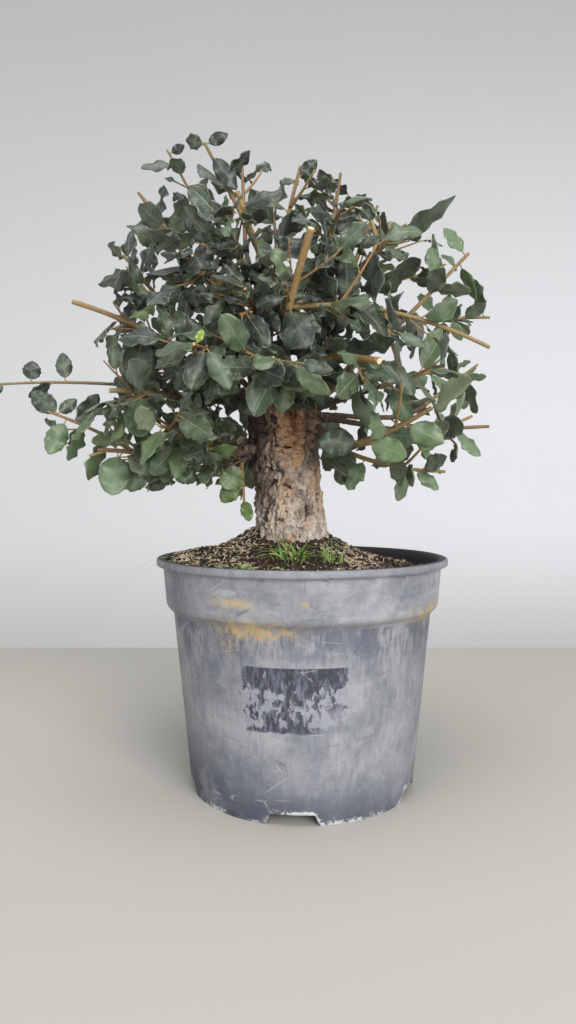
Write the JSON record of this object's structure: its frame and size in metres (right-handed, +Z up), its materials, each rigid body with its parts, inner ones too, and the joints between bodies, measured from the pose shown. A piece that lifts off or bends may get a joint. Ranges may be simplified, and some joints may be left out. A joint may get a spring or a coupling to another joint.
{
  "type": "potted cork oak bonsai",
  "caption": "Bonsai tree with a thick corky trunk, a chopped top, short cut branches and leathery toothed leaves, growing in a round tapered nursery pot.",
  "frame": {"origin": "middle of the whole part's footprint on the surface it stands on", "axes": "+Z up along the trunk and the pot's axis, -Y towards the side with the chop scar, +X to the right seen from there"},
  "size_m": [0.3942, 0.3152, 0.5055],
  "materials": {
    "pot": "weathered",
    "soil": "crumbly, with pale bark chips",
    "bark": "furrowed cork",
    "leaf": "leathery, pale and felted below",
    "grass": "soft"
  },
  "bodies": {
    "root": {"pot": "pot", "soil": "soil", "trunk": "bark", "grass_front": "grass", "grass_right": "grass", "left_shoot": "leaf", "left_low": "leaf", "left_stub": "leaf", "low_left_stub": "leaf", "bare_left": "leaf", "left_up": "leaf", "upper_left": "leaf", "thin_top_left": "leaf", "top_green": "leaf", "top_back": "leaf", "top_mid": "leaf", "bold_stub": "leaf", "top_right_stub": "leaf", "top_right": "leaf", "top_far_right": "leaf", "right_up": "leaf", "right_mid": "leaf", "right_fore": "leaf", "fore_stub": "leaf", "low_right": "leaf", "low_right_out": "leaf", "right_thin": "leaf", "low_right_hang": "leaf", "fore_mid": "leaf", "fore_left": "leaf", "fore_low_left": "leaf", "fore_upper_left": "leaf", "mid_front": "leaf", "mid_high": "leaf", "front_high": "leaf", "under_left": "leaf", "far_low_left": "leaf", "rear_a1": "leaf", "rear_a2": "leaf", "rear_a3": "leaf", "rear_b1": "leaf", "rear_b2": "leaf", "rear_b3": "leaf", "rear_c1": "leaf", "rear_c2": "leaf", "rear_c3": "leaf", "rear_d1": "leaf"}
  },
  "joints": []
}
